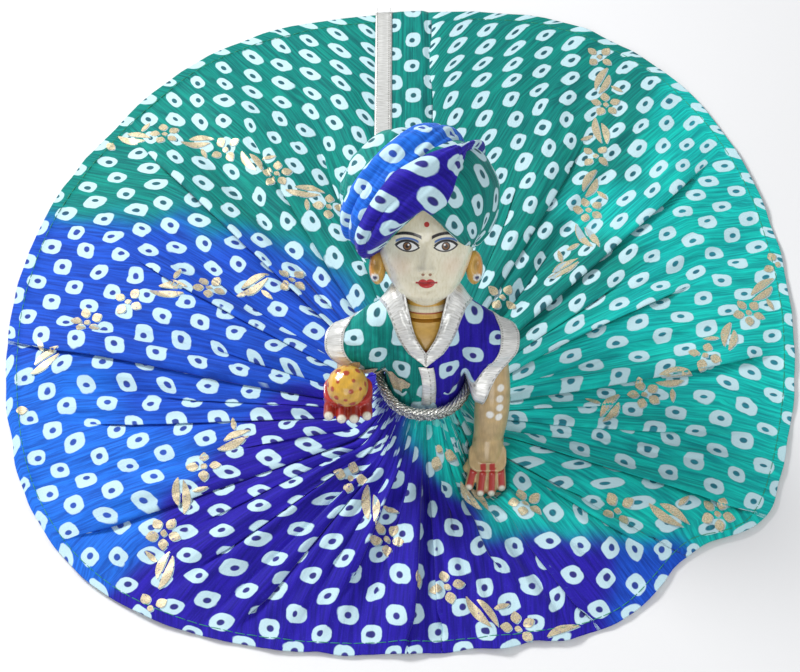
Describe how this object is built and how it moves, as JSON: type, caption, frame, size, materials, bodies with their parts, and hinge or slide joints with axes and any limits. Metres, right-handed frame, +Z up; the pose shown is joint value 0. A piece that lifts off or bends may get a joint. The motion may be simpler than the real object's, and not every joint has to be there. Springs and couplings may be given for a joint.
{
  "type": "dressed figure puppet",
  "caption": "Small painted, peg-jointed child figure kneeling and leaning back in a spread full-circle tie-dye skirt, a ribboned wrap bodice and a wound turban, holding up a ball-shaped sweet.",
  "frame": {"origin": "centre of the bounding box, on the plane that the skirt lies on", "axes": "+X towards the figure's own left, +Y behind it along the skirt's back opening, +Z up; the figure faces -Y"},
  "size_m": [0.3371, 0.33, 0.1155],
  "materials": {
    "figure_paint": "hand-painted carved wood, glossy ivory and ochre",
    "peg_wood": "plain turned hardwood",
    "sweet_paint": "glossy yellow paint with red-brown dots",
    "skirt_print": "crinkled tie-dye print shading from teal and turquoise to blue and navy, pale rings and gold foil vines",
    "teal_print": "crinkled teal tie-dye print with pale rings",
    "navy_print": "crinkled navy tie-dye print with pale rings",
    "blue_print": "crinkled bright blue tie-dye print with pale rings",
    "silver_ribbon": "woven silver-white metallic ribbon, satin sheen",
    "silver_braid": "braided silver thread",
    "padding": "wound cotton padding",
    "hook_and_loop": "white hook-and-loop tape"
  },
  "bodies": {
    "torso": {"torso": "figure_paint", "left_leg": "figure_paint", "right_leg": "figure_paint", "skirt_cloth": "skirt_print", "skirt_waistband": "skirt_print", "closure_loop_patch": "hook_and_loop", "bodice_front_left": "navy_print", "bodice_front_right": "teal_print", "bodice_back": "teal_print", "neck_ribbon_left": "silver_ribbon", "neck_ribbon_right": "silver_ribbon", "front_ribbon_tail": "silver_ribbon", "waist_belt": "silver_braid", "left_shoulder_peg": "peg_wood", "right_shoulder_peg": "peg_wood"},
    "head": {"head": "figure_paint", "neck_dowel": "peg_wood"},
    "turban": {"turban_core": "padding", "turban_wrap_teal": "teal_print", "turban_wrap_navy": "navy_print", "turban_wrap_blue": "blue_print", "turban_crown": "teal_print"},
    "right_arm": {"right_arm": "figure_paint", "sweet_ball": "sweet_paint", "right_sleeve": "teal_print", "right_sleeve_ribbon": "silver_ribbon"},
    "left_arm": {"left_arm": "figure_paint", "left_sleeve": "navy_print", "left_sleeve_ribbon": "silver_ribbon"},
    "placket": {"placket_flap": "skirt_print", "placket_ribbon": "silver_ribbon", "closure_hook_patch": "hook_and_loop"}
  },
  "joints": [
    {"name": "head_turn", "type": "hinge", "parent": "torso", "child": "head", "pos_m": [0.009, -0.046, 0.06], "axis": [0, 0.5736, 0.8192], "range_deg": [-25, 25]},
    {"name": "turban_lift", "type": "slide", "parent": "head", "child": "turban", "axis": [0, 0.7314, 0.682], "range_m": [0, 0.045]},
    {"name": "right_arm_swing", "type": "hinge", "parent": "torso", "child": "right_arm", "pos_m": [0.009, -0.054, 0.0475], "axis": [-1, 0, 0], "range_deg": [-15, 40]},
    {"name": "left_arm_swing", "type": "hinge", "parent": "torso", "child": "left_arm", "pos_m": [0.009, -0.054, 0.0475], "axis": [-1, 0, 0], "range_deg": [0, 50]},
    {"name": "placket_open", "type": "hinge", "parent": "torso", "child": "placket", "pos_m": [0.012, 0.095, 0.0022], "axis": [0, 1, 0], "range_deg": [0, 110]}
  ]
}
